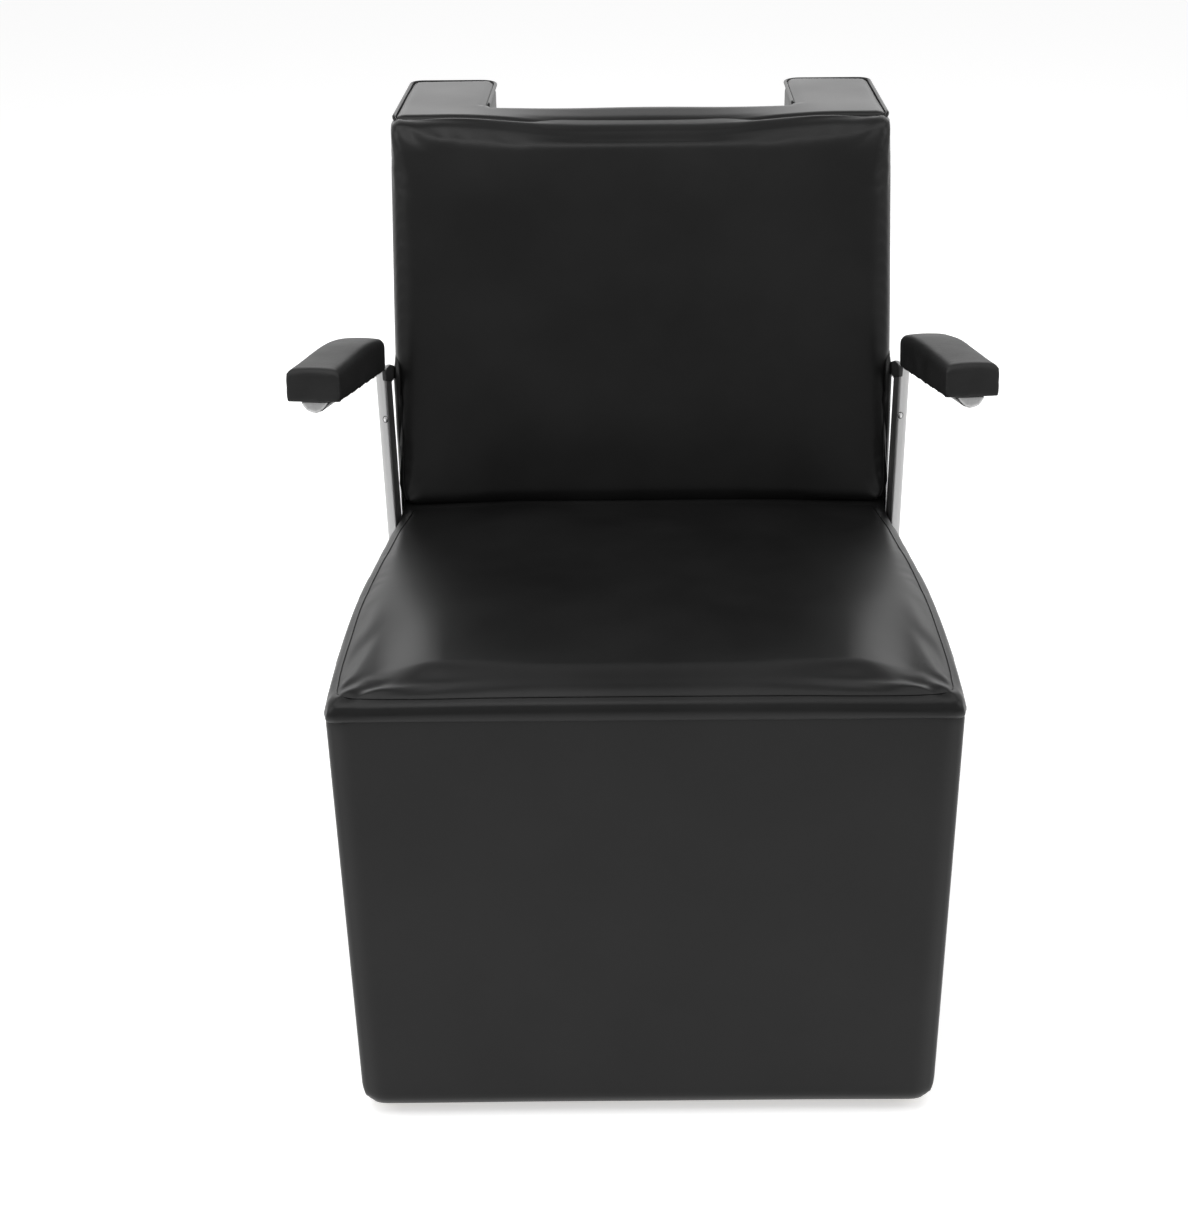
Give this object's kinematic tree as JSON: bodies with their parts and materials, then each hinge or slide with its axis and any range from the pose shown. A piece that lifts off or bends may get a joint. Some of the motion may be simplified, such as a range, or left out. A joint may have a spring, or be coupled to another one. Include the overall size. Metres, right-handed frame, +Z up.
{
  "type": "salon dryer chair",
  "caption": "Box-base salon dryer chair: vinyl-upholstered plywood body with reclined back, rear well and bolt holes for a dryer, padded arms on flat posts and levelling glides.",
  "frame": {"origin": "middle of the footprint, on the floor", "axes": "X is the width with +X at the sitter's left, which is the right of the picture; -Y is the front; +Z is up"},
  "size_m": [0.7566, 0.93, 0.902],
  "materials": {
    "black_vinyl": "semi-gloss, fine grain",
    "plywood": "bare",
    "black_board": "painted black",
    "urethane": "matt moulded skin",
    "satin_steel": "satin",
    "black_steel": "satin powder coat",
    "zinc_steel": "zinc plated",
    "glide_nylon": "moulded"
  },
  "bodies": {
    "chair": {"arm_bracket_left": "black_steel", "arm_bracket_right": "black_steel", "arm_pad_left": "urethane", "arm_pad_right": "urethane", "arm_post_left": "satin_steel", "arm_post_right": "satin_steel", "arm_rail_left": "satin_steel", "arm_rail_right": "satin_steel", "back_board": "plywood", "back_cushion": "black_vinyl", "back_ribs": "plywood", "back_top_cover": "black_vinyl", "base_rear_cover": "black_vinyl", "bracket_bolts": "zinc_steel", "corner_blocks": "plywood", "front_board": "plywood", "front_pad": "black_vinyl", "pad_screws": "zinc_steel", "post_bolts": "zinc_steel", "rear_board": "plywood", "rear_deck": "black_board", "seat_board": "plywood", "seat_cleats": "plywood", "seat_cushion": "black_vinyl", "side_board_left": "plywood", "side_board_right": "plywood", "side_bolts": "zinc_steel", "side_cover_left": "black_vinyl", "side_cover_right": "black_vinyl", "well_cover": "black_vinyl", "well_panel": "plywood", "wing_cap_left": "plywood", "wing_cap_right": "plywood", "wing_cheek_left": "plywood", "wing_cheek_right": "plywood", "wing_cover_left": "black_vinyl", "wing_cover_right": "black_vinyl", "wing_rear_board_left": "plywood", "wing_rear_board_right": "plywood"},
    "front_left_glide": {"glide_front_left": "glide_nylon"},
    "front_right_glide": {"glide_front_right": "glide_nylon"},
    "rear_left_glide": {"glide_rear_left": "glide_nylon"},
    "rear_right_glide": {"glide_rear_right": "glide_nylon"}
  },
  "joints": [
    {"name": "front_left_glide_screw", "type": "slide", "parent": "chair", "child": "front_left_glide", "axis": [0, 0, -1], "range_m": [0, 0.012]},
    {"name": "front_right_glide_screw", "type": "slide", "parent": "chair", "child": "front_right_glide", "axis": [0, 0, -1], "range_m": [0, 0.012]},
    {"name": "rear_left_glide_screw", "type": "slide", "parent": "chair", "child": "rear_left_glide", "axis": [0, 0, -1], "range_m": [0, 0.012]},
    {"name": "rear_right_glide_screw", "type": "slide", "parent": "chair", "child": "rear_right_glide", "axis": [0, 0, -1], "range_m": [0, 0.012]}
  ]
}
